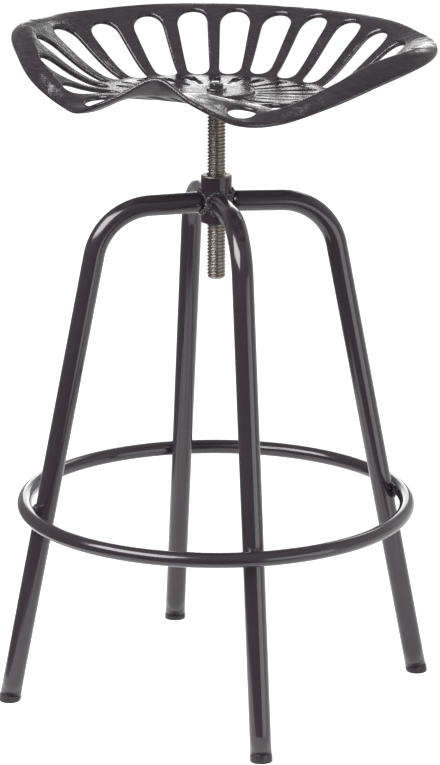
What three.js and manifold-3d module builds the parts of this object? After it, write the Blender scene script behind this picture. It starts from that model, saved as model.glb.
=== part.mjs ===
import * as THREE from 'three';
import { mergeVertices } from 'three/addons/utils/BufferGeometryUtils.js';
import { ParametricGeometry } from 'three/addons/geometries/ParametricGeometry.js';
import Module from 'manifold-3d';

// Tractor seat stool: a slotted cast seat pan on a screw spindle, carried by a threaded hub
// with four bent tube legs and a foot ring. The seat faces -Y, +Z is up, and the origin is
// on the floor under the spindle. Lengths are in millimetres.

// Frame
const legDiameter = 22;
const legWall = 1.5;
const footSpread = 223;
const legLeanDegrees = 11.2;
const armHeight = 530;
const armDroopDegrees = 1.5;
const legBendRadius = 62;
const firstLegDegrees = 35;
const legNames = ['right_leg', 'back_leg', 'left_leg', 'front_leg'];

// Foot ring, welded to the outside of the legs
const ringDiameter = 16;
const ringWall = 1.5;
const ringHeight = 207;

// Feet
const footCapRimThickness = 1;
const footCapHeight = 7;
const footCapPlugLength = 16;

// Threaded hub and spindle
const hubDiameter = 32;
const hubHeight = 50;
const hubOverArm = 28;
const hubChamfer = 1.5;
const spindleDiameter = 19;
const spindleBelowHub = 59;
const spindleChamfer = 2;
const spindleTapDepth = 26;

// Seat fixing
const boltDiameter = 8;
const boltAcrossFlats = 12;
const boltHeadHeight = 5.5;
const boltLength = 30;
const washerDiameter = 21;
const washerThickness = 1.6;
const seatPlateDiameter = 60;
const seatPlateThickness = 5;

// Seat casting
const seatOverHub = 88;
const seatHalfWidth = 227;
const seatRise = 57;
const seatWall = 5;
const seatRimBead = 7;
const seatDiscRadius = 38;
const seatDiscThickness = 8;
const seatDiscStep = 3;

// Welds
const hubWeldRadius = 3.2;
const ringWeldLength = 17;
const ringWeldThickness = 7;

// Fits and mesh fineness
const clearance = 0.3;
const overrun = 5;
const mergeDistance = 1e-4;
const tubeSides = 12;
const ringSides = 12;
const roundSides = 24;
const seatSlices = 66;

// Seat outline, one station every 15 degrees from the middle of the back to the middle of the
// front, mirrored to the other side. Radii are shares of the half width, heights are shares of
// the rise of the back rim over the middle disc, and the bowl shares say how steeply the wall
// meets its shoulder.
const floorRadiusShares = [
  0.43, 0.44, 0.466, 0.488, 0.495, 0.502, 0.512, 0.526, 0.529, 0.512, 0.489, 0.474, 0.469,
];
const floorHeightShares = [
  0, -0.005, -0.01, -0.005, -0.005, 0.015, 0.07, 0.12, 0.128, 0.13, 0.225, 0.32, 0.32,
];
const shoulderRadiusShares = [
  0.785, 0.765, 0.765, 0.802, 0.85, 0.893, 0.901, 0.835, 0.755, 0.69, 0.638, 0.61, 0.595,
];
const shoulderHeightShares = [
  0.985, 0.985, 0.94, 0.905, 0.88, 0.885, 0.94, 0.8, 0.42, 0.12, 0.04, 0.29, 0.36,
];
const rimRadiusShares = [
  0.835, 0.835, 0.85, 0.872, 0.905, 0.972, 1, 0.897, 0.812, 0.73, 0.738, 0.7, 0.657,
];
const rimHeightShares = [
  0.98, 0.99, 0.99, 0.985, 0.955, 0.912, 0.807, 0.515, 0.2, -0.07, -0.05, 0.25, 0.6,
];
const wallBowlShares = [
  0.45, 0.38, 0.38, 0.45, 0.47, 0.53, 0.58, 0.65, 0.88, 0.9, 0.76, 0.75, 0.7,
];

// Turns of the long slots from the middle of the back, then of the thigh hole and of two
// places with no hole in front of it. The inner slots lie midway between these turns.
const slotTurnsInDegrees = [0, 16, 32.1, 48.1, 64.2, 80.2, 96.3, 112.3, 128.4, 146.7, 163.4, 180];

// Ends of the slots by their number from the middle of the back, and sizes of all holes, as
// shares of the half width
const slotStartShares = [0.483, 0.477, 0.495, 0.506, 0.514, 0.528, 0.52, 0.489, 0.45];
const slotEndShares = [0.777, 0.771, 0.791, 0.817, 0.848, 0.88, 0.852, 0.793, 0.709];
const innerSlotEndShares = [0.402, 0.43, 0.45, 0.461, 0.47, 0.476, 0.457, 0.42, 0.4, 0.405, 0.418];
const slotInnerWidthShare = 0.106;
const slotOuterWidthShare = 0.14;
const innerSlotWideShare = 0.048;
const innerSlotNarrowShare = 0.015;
const innerSlotGapShare = 0.022;
const thighHoleWidthShare = 0.125;
const thighHoleLengthShare = 0.119;
const thighHoleRadiusShare = 0.621;
const stationsToFront = rimRadiusShares.length - 1;

const radians = THREE.MathUtils.degToRad;
const fullTurn = 2 * Math.PI;
const hubRadius = hubDiameter / 2;
const legRadius = legDiameter / 2;
const ringTubeRadius = ringDiameter / 2;
const spindleRadius = spindleDiameter / 2;
const hubTop = armHeight + hubOverArm;
const hubBottom = hubTop - hubHeight;
const seatHeight = hubTop + seatOverHub;

const wasm = await Module();
wasm.setup();

const paint = { color: 0x2b282b, roughness: 0.28, metalness: 0.35 };
const steel = { color: 0x8a7d72, roughness: 0.4, metalness: 0.9 };
const zinc = { color: 0x9a9a9c, roughness: 0.35, metalness: 0.9 };
const plastic = { color: 0x17171a, roughness: 0.55, metalness: 0 };

// A closed solid from a geometry, for cutting and joining
function toSolid(geometry) {
  const bare = geometry.clone();
  bare.deleteAttribute('normal');
  bare.deleteAttribute('uv');
  const welded = mergeVertices(bare, mergeDistance);
  const corners = welded.index.array;
  const kept = [];
  for (let i = 0; i < corners.length; i += 3) {
    const [a, b, c] = [corners[i], corners[i + 1], corners[i + 2]];
    if (a !== b && b !== c && c !== a) {
      kept.push(a, b, c);
    }
  }
  const vertProperties = new Float32Array(welded.attributes.position.array);
  const triVerts = new Uint32Array(kept);
  return new wasm.Manifold(new wasm.Mesh({ numProp: 3, vertProperties, triVerts }));
}

function toGeometry(solid) {
  const mesh = solid.getMesh();
  const geometry = new THREE.BufferGeometry();
  geometry.setAttribute('position', new THREE.BufferAttribute(mesh.vertProperties, 3));
  geometry.setIndex(new THREE.BufferAttribute(mesh.triVerts, 1));
  geometry.computeVertexNormals();
  return geometry;
}

const stool = new THREE.Group();

function addPiece(name, geometry, finish) {
  const mesh = new THREE.Mesh(geometry, new THREE.MeshStandardMaterial(finish));
  mesh.name = name;
  stool.add(mesh);
  return mesh;
}

// A disc or rod that stands on the spindle axis
function rod(radius, bottom, top, sides = roundSides) {
  const geometry = new THREE.CylinderGeometry(radius, radius, top - bottom, sides);
  geometry.rotateX(Math.PI / 2);
  geometry.translate(0, 0, (bottom + top) / 2);
  return geometry;
}

// A turned piece from a closed outline of [radius, height] corners
function turned(outline, sides = roundSides) {
  const corners = outline.map(([radius, height]) => new THREE.Vector2(radius, height));
  const geometry = new THREE.LatheGeometry(corners, sides);
  geometry.rotateX(Math.PI / 2);
  return geometry;
}

// Legs: an arm out from the hub, a bend, and a straight leg that leans outwards
const legLean = radians(legLeanDegrees);
const armDroop = radians(armDroopDegrees);
const legSlope = Math.tan(legLean);
const elbowRadius = (footSpread - legSlope * armHeight) / (1 - legSlope * Math.tan(armDroop));
const elbowHeight = armHeight - Math.tan(armDroop) * elbowRadius;
const bendAngle = Math.PI / 2 - legLean - armDroop;
const bendSetback = legBendRadius * Math.tan(bendAngle / 2);
const bendSteps = 8;

// The leg's centre line in its own upright plane, x outwards, with one even share of the
// parameter for the arm, one for each step of the bend and one for the straight leg
class LegCentreLine extends THREE.Curve {
  getUtoTmapping(share) {
    return share;
  }

  getPoint(share, target = new THREE.Vector3()) {
    const spans = bendSteps + 2;
    const place = share * spans;
    const armEndX = elbowRadius - bendSetback * Math.cos(armDroop);
    const armEndZ = elbowHeight + bendSetback * Math.sin(armDroop);
    if (place <= 1) {
      return target.set(armEndX * place, 0, THREE.MathUtils.lerp(armHeight, armEndZ, place));
    }
    if (place >= spans - 1) {
      const legStartX = elbowRadius + bendSetback * Math.sin(legLean);
      const legStartZ = elbowHeight - bendSetback * Math.cos(legLean);
      const along = place - (spans - 1);
      const footEnd = footCapHeight;
      const endX = footSpread - legSlope * footEnd;
      return target.set(
        THREE.MathUtils.lerp(legStartX, endX, along), 0,
        THREE.MathUtils.lerp(legStartZ, footEnd, along)
      );
    }
    const turn = armDroop + bendAngle * (place - 1) / bendSteps;
    const centreX = armEndX - legBendRadius * Math.sin(armDroop);
    const centreZ = armEndZ - legBendRadius * Math.cos(armDroop);
    return target.set(
      centreX + legBendRadius * Math.sin(turn), 0,
      centreZ + legBendRadius * Math.cos(turn)
    );
  }
}

// A round bar along a path, or a tube where it has a bore
function sweptRound(path, steps, sides, radius, boreRadius = 0) {
  const section = new THREE.Shape();
  section.absarc(0, 0, radius, 0, fullTurn, false);
  if (boreRadius > 0) {
    const bore = new THREE.Path();
    bore.absarc(0, 0, boreRadius, 0, fullTurn, true);
    section.holes.push(bore);
  }
  return new THREE.ExtrudeGeometry(section, { steps, curveSegments: sides / 2, extrudePath: path });
}

function legSweep(radius, boreRadius) {
  return sweptRound(new LegCentreLine(), bendSteps + 2, tubeSides, radius, boreRadius);
}

function legAngle(index) {
  return radians(firstLegDegrees) + index * Math.PI / 2;
}

// The hub end of each leg is cut to the hub's curve, and is open into the tube
const hubCutter = toSolid(rod(hubRadius + clearance, hubBottom - overrun, hubTop + overrun));
legNames.forEach((name, index) => {
  const tube = legSweep(legRadius, legRadius - legWall).rotateZ(legAngle(index));
  addPiece(name, toGeometry(toSolid(tube).subtract(hubCutter)), paint);
});

// Feet: a moulded cap with a plug inside the tube, ground flat on the floor
const footPlugRadius = legRadius - legWall - clearance;
const footCapRadius = legRadius + footCapRimThickness;
const footAlong = footCapHeight / Math.cos(legLean);

function footCap() {
  const reach = footAlong + overrun + legRadius * legSlope;
  const cap = turned([
    [0, -reach], [footCapRadius, -reach], [footCapRadius, -clearance],
    [footPlugRadius, -clearance], [footPlugRadius, footCapPlugLength], [0, footCapPlugLength],
  ], tubeSides);
  cap.rotateY(-legLean);
  cap.translate(footSpread - legSlope * footCapHeight, 0, footCapHeight);
  const floorCut = new THREE.BoxGeometry(legDiameter * 2, legDiameter * 2, legDiameter);
  floorCut.translate(footSpread, 0, -legRadius);
  return toSolid(cap).subtract(toSolid(floorCut));
}

legNames.forEach((name, index) => {
  const cap = toGeometry(footCap()).rotateZ(legAngle(index));
  addPiece(name.replace('leg', 'foot_cap'), cap, plastic);
});

// Foot ring: one rolled tube whose butt seam lies behind the back leg
const tubeSpacing = legRadius + ringTubeRadius + clearance;
const ringRadius = footSpread - legSlope * ringHeight + tubeSpacing / Math.cos(legLean);
const seamAngle = clearance / ringRadius;

class RingCentreLine extends THREE.Curve {
  getUtoTmapping(share) {
    return share;
  }

  getPoint(share, target = new THREE.Vector3()) {
    const turn = THREE.MathUtils.lerp(seamAngle / 2, fullTurn - seamAngle / 2, share);
    return target.set(ringRadius * Math.cos(turn), ringRadius * Math.sin(turn), ringHeight);
  }
}

const ringSteps = 32;

function ringSweep(radius, boreRadius) {
  return sweptRound(new RingCentreLine(), ringSteps, ringSides, radius, boreRadius).rotateZ(legAngle(1));
}
addPiece('foot_ring', ringSweep(ringTubeRadius, ringTubeRadius - ringWall), paint);

// Weld lumps that fill the crotch between the ring and each leg
const ringCutter = toSolid(ringSweep(ringTubeRadius + clearance));
const weldReach = legRadius / Math.cos(legLean);
legNames.forEach((name, index) => {
  const lump = new THREE.SphereGeometry(ringWeldLength / 2, 8, 6);
  lump.scale(ringWeldThickness / ringWeldLength, 1, 1);
  lump.rotateY(-legLean);
  lump.translate(footSpread - legSlope * ringHeight + weldReach, 0, ringHeight);
  const legCutter = toSolid(legSweep(legRadius + clearance).rotateZ(legAngle(index)));
  const weld = toSolid(lump.rotateZ(legAngle(index))).subtract(legCutter).subtract(ringCutter);
  addPiece(name.replace('leg', 'ring_weld'), toGeometry(weld), paint);
});

// Hub: a threaded boss, with a round weld bead where each arm meets it
const hubBore = spindleRadius + clearance;
addPiece('hub', turned([
  [hubBore, hubBottom + hubChamfer], [hubBore + hubChamfer, hubBottom], [hubRadius - hubChamfer, hubBottom],
  [hubRadius, hubBottom + hubChamfer], [hubRadius, hubTop - hubChamfer], [hubRadius - hubChamfer, hubTop],
  [hubBore + hubChamfer, hubTop], [hubBore, hubTop - hubChamfer], [hubBore, hubBottom + hubChamfer],
]), paint);

class HubWeldLine extends THREE.Curve {
  getPoint(share, target = new THREE.Vector3()) {
    const turn = fullTurn * share;
    const side = legRadius * Math.sin(turn);
    const outwards = Math.sqrt(hubRadius ** 2 - side ** 2);
    const middle = armHeight - Math.tan(armDroop) * outwards;
    return target.set(outwards, side, middle + legRadius * Math.cos(turn));
  }
}

const weldSteps = 8;
const weldSides = 5;

function hubWelds() {
  const weldLine = new THREE.CatmullRomCurve3(new HubWeldLine().getPoints(weldSteps).slice(0, -1), true);
  let beads = null;
  let arms = null;
  legNames.forEach((name, index) => {
    const round = sweptRound(weldLine, weldSteps, weldSides, hubWeldRadius);
    const bead = toSolid(round.rotateZ(legAngle(index)));
    const armSolid = toSolid(legSweep(legRadius + clearance).rotateZ(legAngle(index)));
    beads = beads ? beads.add(bead) : bead;
    arms = arms ? arms.add(armSolid) : armSolid;
  });
  return beads.subtract(arms).subtract(hubCutter);
}
addPiece('hub_welds', toGeometry(hubWelds()), paint);

// Spindle: a bare screw, drilled and tapped at its top for the seat bolt
const seatUnderside = seatHeight - seatDiscThickness;
const plateTop = seatUnderside - clearance;
const plateBottom = plateTop - seatPlateThickness;
const tapRadius = boltDiameter / 2 + clearance;
const spindleLowEnd = hubBottom - spindleBelowHub;
addPiece('spindle', turned([
  [0, spindleLowEnd], [spindleRadius - spindleChamfer, spindleLowEnd],
  [spindleRadius, spindleLowEnd + spindleChamfer], [spindleRadius, plateTop], [tapRadius, plateTop],
  [tapRadius, plateTop - spindleTapDepth], [0, plateTop - spindleTapDepth],
]), steel);

// Seat plate: a round plate welded round the top of the spindle
const plateBore = spindleRadius + clearance;
addPiece('seat_plate', turned([
  [plateBore, plateBottom], [seatPlateDiameter / 2, plateBottom], [seatPlateDiameter / 2, plateTop],
  [plateBore, plateTop], [plateBore, plateBottom],
]), paint);

// Bolt and washer on the seat's middle disc
const washerBottom = seatHeight + clearance;
const washerTop = washerBottom + washerThickness;
addPiece('seat_washer', turned([
  [tapRadius, washerBottom], [washerDiameter / 2, washerBottom], [washerDiameter / 2, washerTop],
  [tapRadius, washerTop], [tapRadius, washerBottom],
]), zinc);

const headBottom = washerTop + clearance;
const headCorner = boltAcrossFlats / Math.sqrt(3);
const boltHead = toSolid(rod(headCorner, headBottom, headBottom + boltHeadHeight, 6));
const boltShank = toSolid(rod(boltDiameter / 2, headBottom - boltLength, headBottom + boltHeadHeight / 2));
addPiece('seat_bolt', toGeometry(boltHead.add(boltShank)), zinc);

// Seat: rings that the cast pan passes through, each station a radius and a height, and a
// third number for the bowl
function seatRing(radiusShares, heightShares, drop) {
  const stations = [];
  for (let i = 0; i < 2 * stationsToFront; i += 1) {
    const station = Math.min(i, 2 * stationsToFront - i);
    const radius = radiusShares[station] * seatHalfWidth;
    const height = heightShares[station] * seatRise - drop;
    stations.push(new THREE.Vector3(radius, wallBowlShares[station], height));
  }
  return new THREE.CatmullRomCurve3(stations, true, 'catmullrom', 0.5);
}

const floorDrop = seatDiscStep + seatWall / 2;
const floorRing = seatRing(floorRadiusShares, floorHeightShares, floorDrop);
const shoulderRing = seatRing(shoulderRadiusShares, shoulderHeightShares, seatWall / 2);
const rimRing = seatRing(rimRadiusShares, rimHeightShares, 0);

// Turn is measured from the middle of the back, towards +X
function ringAt(ring, turn) {
  return ring.getPoint(THREE.MathUtils.euclideanModulo(turn / fullTurn, 1));
}

const floorSteps = 2;
const wallSteps = 5;
const lipSteps = 2;
const beadSteps = 2;

// Height on a smooth curve from one end to the other with a given slope at each end
function smoothHeight(from, to, slopeFrom, slopeTo, along) {
  const run = to.r - from.r;
  const eased = THREE.MathUtils.smoothstep(along, 0, 1);
  const startPull = along * (1 - along) ** 2;
  const endPull = (along - 1) * along ** 2;
  return THREE.MathUtils.lerp(from.z, to.z, eased) + run * (slopeFrom * startPull + slopeTo * endPull);
}

// The pan's middle surface in one upright plane, as stations with half the wall there
function seatStations(turn) {
  const [floor, shoulder, rim] = [floorRing, shoulderRing, rimRing].map((ring) => {
    const point = ringAt(ring, turn);
    return { r: point.x, z: point.z, bowl: point.y };
  });
  const discHalf = seatDiscThickness / 2;
  const floorEdge = { r: seatDiscRadius + seatDiscStep / 2, z: -floorDrop };
  const floorSlope = (floor.z - floorEdge.z) / (floor.r - floorEdge.r);
  const wallSlope = (shoulder.z - floor.z) / (shoulder.r - floor.r);
  const sameWay = floorSlope * wallSlope > 0;
  const footSlope = sameWay ? 2 * floorSlope * wallSlope / (floorSlope + wallSlope) : 0;
  const shoulderSlope = 2 * shoulder.bowl * wallSlope;
  const stations = [
    { r: 0, z: -discHalf, half: discHalf },
    { r: seatDiscRadius, z: -discHalf, half: discHalf },
    { r: floorEdge.r, z: floorEdge.z, half: seatWall / 2 },
  ];
  for (let i = 1; i < floorSteps; i += 1) {
    const along = i / floorSteps;
    const z = smoothHeight(floorEdge, floor, 0, footSlope, along);
    stations.push({ r: THREE.MathUtils.lerp(floorEdge.r, floor.r, along), z, half: seatWall / 2 });
  }
  for (let i = 0; i <= wallSteps; i += 1) {
    const along = i / wallSteps;
    const z = smoothHeight(floor, shoulder, footSlope, shoulderSlope, along);
    stations.push({ r: THREE.MathUtils.lerp(floor.r, shoulder.r, along), z, half: seatWall / 2 });
  }
  const lipRise = shoulderSlope * (rim.r - shoulder.r);
  for (let i = 1; i <= lipSteps; i += 1) {
    const along = i / lipSteps;
    stations.push({
      r: THREE.MathUtils.lerp(shoulder.r, rim.r, along),
      z: shoulder.z + lipRise * along + (rim.z - shoulder.z - lipRise) * along ** 2,
      half: THREE.MathUtils.lerp(seatWall, seatRimBead, along) / 2,
    });
  }
  return stations;
}

// The closed outline of that plane: out along the top, round the rim bead and back underneath
function seatOutline(turn) {
  const stations = seatStations(turn);
  const last = stations.length - 1;
  const flatStations = 3;
  const lean = stations.map((station, i) => {
    if (i < flatStations) {
      return 0;
    }
    const before = stations[i - 1];
    const after = stations[Math.min(i + 1, last)];
    return Math.atan2(after.z - before.z, after.r - before.r);
  });
  const offset = (i, direction) => [
    stations[i].r + Math.cos(direction) * stations[i].half,
    stations[i].z + Math.sin(direction) * stations[i].half,
  ];
  const outline = stations.map((station, i) => offset(i, lean[i] + Math.PI / 2));
  for (let i = 1; i < beadSteps * 2; i += 1) {
    outline.push(offset(last, lean[last] + Math.PI / 2 - Math.PI * i / (beadSteps * 2)));
  }
  for (let i = last; i >= 0; i -= 1) {
    outline.push(offset(i, lean[i] - Math.PI / 2));
  }
  return outline;
}

const seatLoops = Array.from({ length: seatSlices }, (unused, i) => seatOutline(fullTurn * i / seatSlices));
const seatStacks = seatLoops[0].length - 1;

function seatPoint(around, along, target) {
  const slice = Math.round(around * seatSlices) % seatSlices;
  const [radius, height] = seatLoops[slice][Math.round(along * seatStacks)];
  const turn = fullTurn * slice / seatSlices;
  target.set(radius * Math.sin(turn), radius * Math.cos(turn), seatHeight + height);
}

// A cutter whose local x runs outwards at the given turn from the back
function placedCutter(shape, turn, segments) {
  const bottom = seatHeight - seatRise;
  const cutter = new THREE.ExtrudeGeometry(shape, {
    depth: 3 * seatRise, bevelEnabled: false, curveSegments: segments,
  });
  cutter.rotateZ(Math.PI / 2 - turn);
  cutter.translate(0, 0, bottom);
  return toSolid(cutter);
}

// A long hole with round ends, wider at one end than at the other
function taperedSlot(innerEnd, outerEnd, innerWidth, outerWidth) {
  const innerRadius = innerWidth / 2;
  const outerRadius = outerWidth / 2;
  const innerCentre = innerEnd + innerRadius;
  const outerCentre = outerEnd - outerRadius;
  const flank = Math.PI / 2 + Math.asin((outerRadius - innerRadius) / (outerCentre - innerCentre));
  const slot = new THREE.Shape();
  slot.absarc(outerCentre, 0, outerRadius, -flank, flank, false);
  slot.absarc(innerCentre, 0, innerRadius, flank, fullTurn - flank, false);
  slot.closePath();
  return slot;
}

// Turn of a slot by its number, negative on the -X side; a half number is midway between two
function slotTurn(number) {
  const size = Math.abs(number);
  const before = slotTurnsInDegrees[Math.floor(size)];
  const after = slotTurnsInDegrees[Math.ceil(size)];
  return Math.sign(number) * radians(THREE.MathUtils.lerp(before, after, size % 1));
}

function seatCutters() {
  const cutters = [];
  const slotSegments = 3;
  const innerSlotSegments = 2;
  const furthestSlot = slotStartShares.length - 1;
  for (let i = -furthestSlot; i <= furthestSlot; i += 1) {
    const slot = taperedSlot(
      slotStartShares[Math.abs(i)] * seatHalfWidth,
      slotEndShares[Math.abs(i)] * seatHalfWidth,
      slotInnerWidthShare * seatHalfWidth,
      slotOuterWidthShare * seatHalfWidth
    );
    cutters.push(placedCutter(slot, slotTurn(i), slotSegments));
  }
  for (const side of [-1, 1]) {
    innerSlotEndShares.forEach((endShare, i) => {
      const slot = taperedSlot(
        seatDiscRadius + innerSlotGapShare * seatHalfWidth,
        endShare * seatHalfWidth,
        innerSlotNarrowShare * seatHalfWidth,
        innerSlotWideShare * seatHalfWidth
      );
      cutters.push(placedCutter(slot, slotTurn(side * (i + 0.5)), innerSlotSegments));
    });
    const hole = new THREE.Shape();
    const halfLength = thighHoleLengthShare * seatHalfWidth / 2;
    const halfWidth = thighHoleWidthShare * seatHalfWidth / 2;
    hole.absellipse(thighHoleRadiusShare * seatHalfWidth, 0, halfLength, halfWidth, 0, fullTurn, false, 0);
    cutters.push(placedCutter(hole, slotTurn(side * (furthestSlot + 1)), 2 * slotSegments));
  }
  const boltHole = rod(tapRadius, seatHeight - seatRise, seatHeight + seatRise, roundSides / 2);
  cutters.push(toSolid(boltHole));
  return cutters;
}

const blankSeat = toSolid(new ParametricGeometry(seatPoint, seatSlices, seatStacks));
const seat = seatCutters().reduce((solid, cutter) => solid.subtract(cutter), blankSeat);
addPiece('seat', toGeometry(seat), paint);

export default stool;
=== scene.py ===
"""Looks of the tractor seat stool: the cast seat pan, the screw, the bent tube frame, its
welds and feet, with their finishes, a studio and the camera. Lengths are written in
millimetres and become metres when a mesh is made. Finishes and studio are in metres."""
import math

import bmesh
import bpy
import numpy as np
from mathutils import Matrix, Vector


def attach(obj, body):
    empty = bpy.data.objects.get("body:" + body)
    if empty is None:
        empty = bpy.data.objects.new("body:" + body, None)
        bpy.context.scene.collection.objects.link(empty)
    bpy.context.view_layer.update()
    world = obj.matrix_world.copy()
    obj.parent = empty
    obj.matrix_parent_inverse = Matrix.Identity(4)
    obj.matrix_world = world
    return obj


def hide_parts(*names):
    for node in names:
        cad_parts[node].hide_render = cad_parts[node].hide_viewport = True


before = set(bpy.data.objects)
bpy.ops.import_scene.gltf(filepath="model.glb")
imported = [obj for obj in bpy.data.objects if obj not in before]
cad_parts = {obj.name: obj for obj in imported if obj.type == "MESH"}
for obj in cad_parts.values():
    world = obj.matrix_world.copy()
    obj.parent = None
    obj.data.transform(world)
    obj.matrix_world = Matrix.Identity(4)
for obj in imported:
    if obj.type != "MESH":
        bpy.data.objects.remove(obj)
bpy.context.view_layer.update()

MM = 0.001
TURN = 2 * math.pi

# Camera

# It stands in front of the stool and a little to the sitter's left. Its view matches the
# legs, the foot ring and the seat of the photographed stool.
IMAGE_HEIGHT = 765
FOCAL_PIXELS = 3342.5
SENSOR_HEIGHT = 36.0
FURTHEST_SEEN = 100.0
VIEW_DISTANCE = 3373.1
VIEW_HEIGHT = 1258.0
VIEW_TURN = math.radians(23.05)
VIEW_YAW = 0.00123
VIEW_PITCH = 0.26683
VIEW_ROLL = 0.00204


def place_camera():
    """A camera from its distance, height, turn about the stool, yaw, pitch and roll."""
    data = bpy.data.cameras.new("view")
    data.sensor_fit = "VERTICAL"
    data.sensor_height = SENSOR_HEIGHT
    data.lens = FOCAL_PIXELS / IMAGE_HEIGHT * SENSOR_HEIGHT
    data.clip_end = FURTHEST_SEEN
    camera = bpy.data.objects.new("view", data)
    bpy.context.scene.collection.objects.link(camera)
    heading = VIEW_YAW - VIEW_TURN
    level = math.cos(VIEW_PITCH)
    ahead = Vector((math.sin(heading) * level, math.cos(heading) * level, -math.sin(VIEW_PITCH)))
    right = Vector((math.cos(heading), -math.sin(heading), 0))
    up = right.cross(ahead)
    tilted_right = right * math.cos(VIEW_ROLL) + up * math.sin(VIEW_ROLL)
    tilted_up = up * math.cos(VIEW_ROLL) - right * math.sin(VIEW_ROLL)
    turned = Matrix((tilted_right, tilted_up, -ahead)).transposed().to_4x4()
    aside = math.sin(VIEW_TURN) * VIEW_DISTANCE
    in_front = math.cos(VIEW_TURN) * VIEW_DISTANCE
    stand = Vector((aside, -in_front, VIEW_HEIGHT))
    camera.matrix_world = Matrix.Translation(stand * MM) @ turned
    bpy.context.scene.camera = camera


place_camera()

# Sizes

# The main ones are those of the part's source. A few are a little smaller: RIM_BEAD and
# RING_TUBE_RADIUS, so that their finer facets stay inside the model's box, CAP_RIM, because
# the photographed feet hardly stand out past the legs, and the height of the bolt head.
CLEARANCE = 0.3
LEG_RADIUS = 11.0
FOOT_SPREAD = 223.0
LEG_LEAN = math.radians(11.2)
LEG_SLOPE = math.tan(LEG_LEAN)
ARM_HEIGHT = 530.0
ARM_DROOP = math.radians(1.5)
ARM_SINK = 3.0
BEND_RADIUS = 62.0
LEG_TURNS = {"right_leg": 35, "back_leg": 125, "left_leg": 215, "front_leg": 305}
RING_TUBE_RADIUS = 7.9
RING_HEIGHT = 207.0
RING_RADIUS = (FOOT_SPREAD - LEG_SLOPE * RING_HEIGHT
               + (LEG_RADIUS + RING_TUBE_RADIUS + CLEARANCE) / math.cos(LEG_LEAN))
CAP_HEIGHT = 7.0
CAP_RIM = 0.35
CAP_SHOULDER = 1.6
CAP_LIP = 0.5
CAP_LIP_RIM = 0.05
CAP_ROUNDING = 2.2
CAP_PINHOLE = 0.01
HUB_RADIUS = 16.0
HUB_TOP = 558.0
HUB_BOTTOM = 508.0
HUB_ROUNDING = 1.5
SCREW_RADIUS = 9.5
SCREW_LOW_END = 449.0
SCREW_PITCH = 3.63
SCREW_CHAMFER = 2.2
THREAD_DEPTH = 1.45
THREAD_STRETCH = 1.35
THREAD_ROOT = 0.05
SEAT_TOP = 646.0
DISC_RADIUS = 38.0
DISC_THICKNESS = 8.0
DISC_STEP = 3.0
PLATE_RADIUS = 30.0
PLATE_THICKNESS = 5.0
PLATE_ROUNDING = 0.8
PLATE_TOP = SEAT_TOP - DISC_THICKNESS - CLEARANCE
BOLT_HOLE = 4.3
WASHER_RADIUS = 10.5
WASHER_THICKNESS = 1.6
WASHER_ROUNDING = 0.5
WASHER_BOTTOM = SEAT_TOP + CLEARANCE
HEAD_BOTTOM = WASHER_BOTTOM + WASHER_THICKNESS + CLEARANCE
HALF_FLATS = 6.0
SCREW_BORE = SCREW_RADIUS + CLEARANCE

# Weld beads: how thick, rippled and lumpy they are and which way they stand off the arm.
# RING_WELD_BALL is the radius of the ball on which the lumps of a ring weld are read.
BEAD_RADIUS = 3.2
BEAD_RIPPLE = 0.4
BEAD_DROPS = 19
BEAD_OUT = 0.75
BEAD_AWAY = 0.9
SWELL_SIZE = 9.0
SWELL_HEIGHT = 0.7
GRAIN_SIZE = 4.0
GRAIN_HEIGHT = 0.6
RING_WELD_RADII = (3.4, 8.2, 8.2)
RING_WELD_BALL = 8.0
RING_SWELL_SIZE = 7.0
RING_SWELL_SHARE = 0.12
SWELL_WAVES = 7
SWELL_WAVE_SHARES = (0.6, 1.5)
POLE_TILT = 0.02
SEED_SWELL = 20
SEED_GRAIN = 50
SEED_RING_WELD = 80

# How finely each piece is divided
ARM_STEPS = 6
BEND_STEPS = 28
LEG_STEPS = 24
TUBE_SIDES = 40
CAP_CORNER_STEPS = 6
HUB_CORNER_STEPS = 5
SMALL_CORNER_STEPS = 3
RING_STEPS = 200
RING_SIDES = 32
TURNED_SIDES = 72
WASHER_SIDES = 60
SCREW_SIDES = 40
ROWS_A_THREAD = 9
BEAD_STEPS = 150
BEAD_SIDES = 14
RING_WELD_ROWS = 24
RING_WELD_SIDES = 32

# The bolt head from its middle underneath to its middle on top: a radius and the height
# above its underside. A radius past the flats takes the hexagon's own outline.
BOLT_HEAD = [(0.05, 0), (4.0, 0), (20, 0), (20, 3.6), (6.55, 4.3), (6.1, 4.7), (5.6, 4.95), (4.9, 5.05),
             (0.05, 5.05)]

# The seat pan. A radius is a share of HALF_WIDTH and a height is a share of SEAT_RISE, at
# stations every 15 degrees from the middle of the back to the front.
HALF_WIDTH = 227.0
SEAT_RISE = 57.0
SEAT_WALL = 5.0
RIM_BEAD = 6.2
FLOOR_RADIUS_SHARES = [
    0.43, 0.44, 0.466, 0.488, 0.495, 0.502, 0.512, 0.526, 0.529, 0.512, 0.489, 0.474, 0.469]
FLOOR_HEIGHT_SHARES = [
    0, -0.005, -0.01, -0.005, -0.005, 0.015, 0.07, 0.12, 0.128, 0.13, 0.225, 0.32, 0.32]
SHOULDER_RADIUS_SHARES = [
    0.785, 0.765, 0.765, 0.802, 0.85, 0.893, 0.901, 0.835, 0.755, 0.69, 0.638, 0.61, 0.595]
SHOULDER_HEIGHT_SHARES = [
    0.985, 0.985, 0.94, 0.905, 0.88, 0.885, 0.94, 0.8, 0.42, 0.12, 0.04, 0.29, 0.36]
RIM_RADIUS_SHARES = [0.835, 0.835, 0.85, 0.872, 0.905, 0.972, 1, 0.897, 0.812, 0.73, 0.738, 0.7, 0.657]
RIM_HEIGHT_SHARES = [0.98, 0.99, 0.99, 0.985, 0.955, 0.912, 0.807, 0.515, 0.2, -0.07, -0.05, 0.25, 0.6]

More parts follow.
